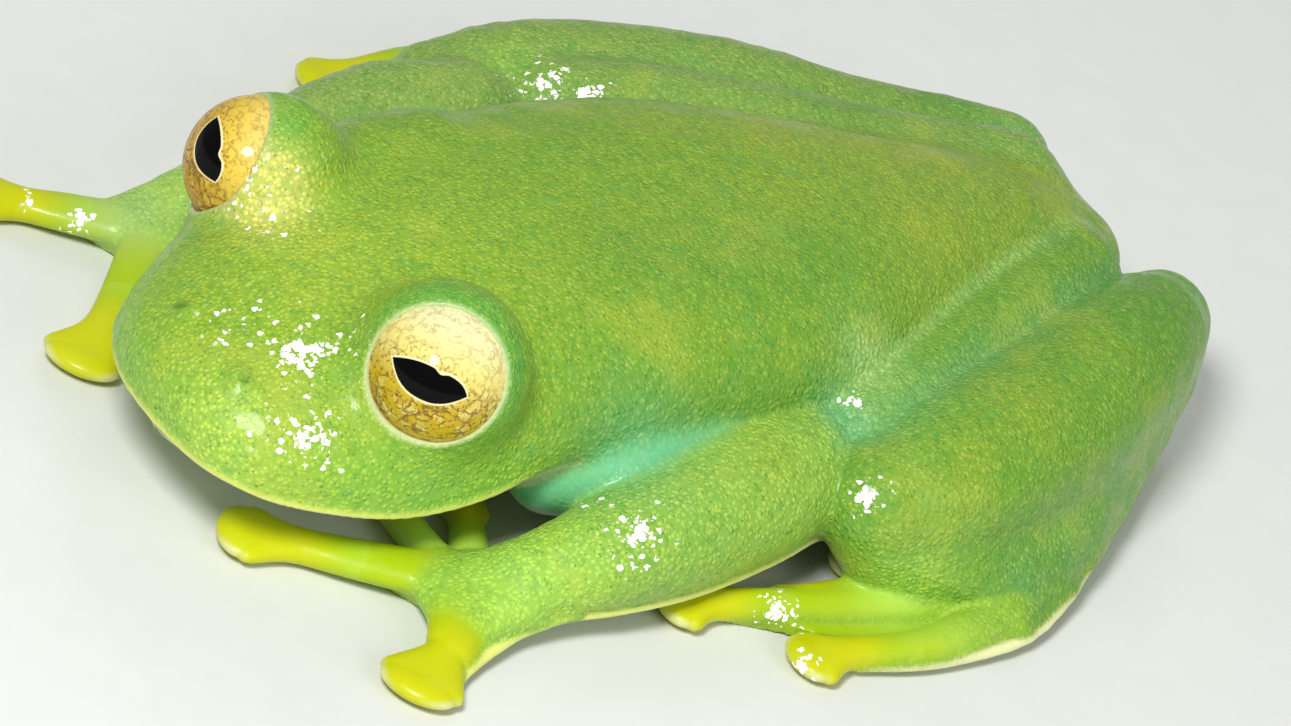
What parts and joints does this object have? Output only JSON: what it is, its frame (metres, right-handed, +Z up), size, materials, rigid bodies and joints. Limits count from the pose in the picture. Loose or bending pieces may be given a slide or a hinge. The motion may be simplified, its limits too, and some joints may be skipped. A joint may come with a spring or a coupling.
{
  "type": "glass frog",
  "caption": "Small green glass frog crouched at rest with folded legs, forward-facing golden eyes and yellow disc-tipped fingers and toes.",
  "frame": {"origin": "on the flat of the belly, on the midline under the shoulders' rear, where the frog rests on the floor", "axes": "+Z up out of the floor, -Y the way the snout points, +X towards the frog's left side"},
  "size_m": [0.0227, 0.0285, 0.0065],
  "materials": {
    "skin": "moist, finely granular, slightly translucent",
    "digit_skin": "moist and smooth",
    "eye": "wet gloss"
  },
  "bodies": {
    "root": {"head": "skin", "trunk": "skin", "eye_left": "eye", "eye_right": "eye", "upper_arm_left": "skin", "upper_arm_right": "skin", "forearm_left": "skin", "forearm_right": "skin", "hand_left": "digit_skin", "hand_right": "digit_skin", "thigh_left": "skin", "thigh_right": "skin", "shank_left": "skin", "shank_right": "skin", "tarsus_left": "skin", "tarsus_right": "skin", "foot_left": "digit_skin", "foot_right": "digit_skin"}
  },
  "joints": []
}
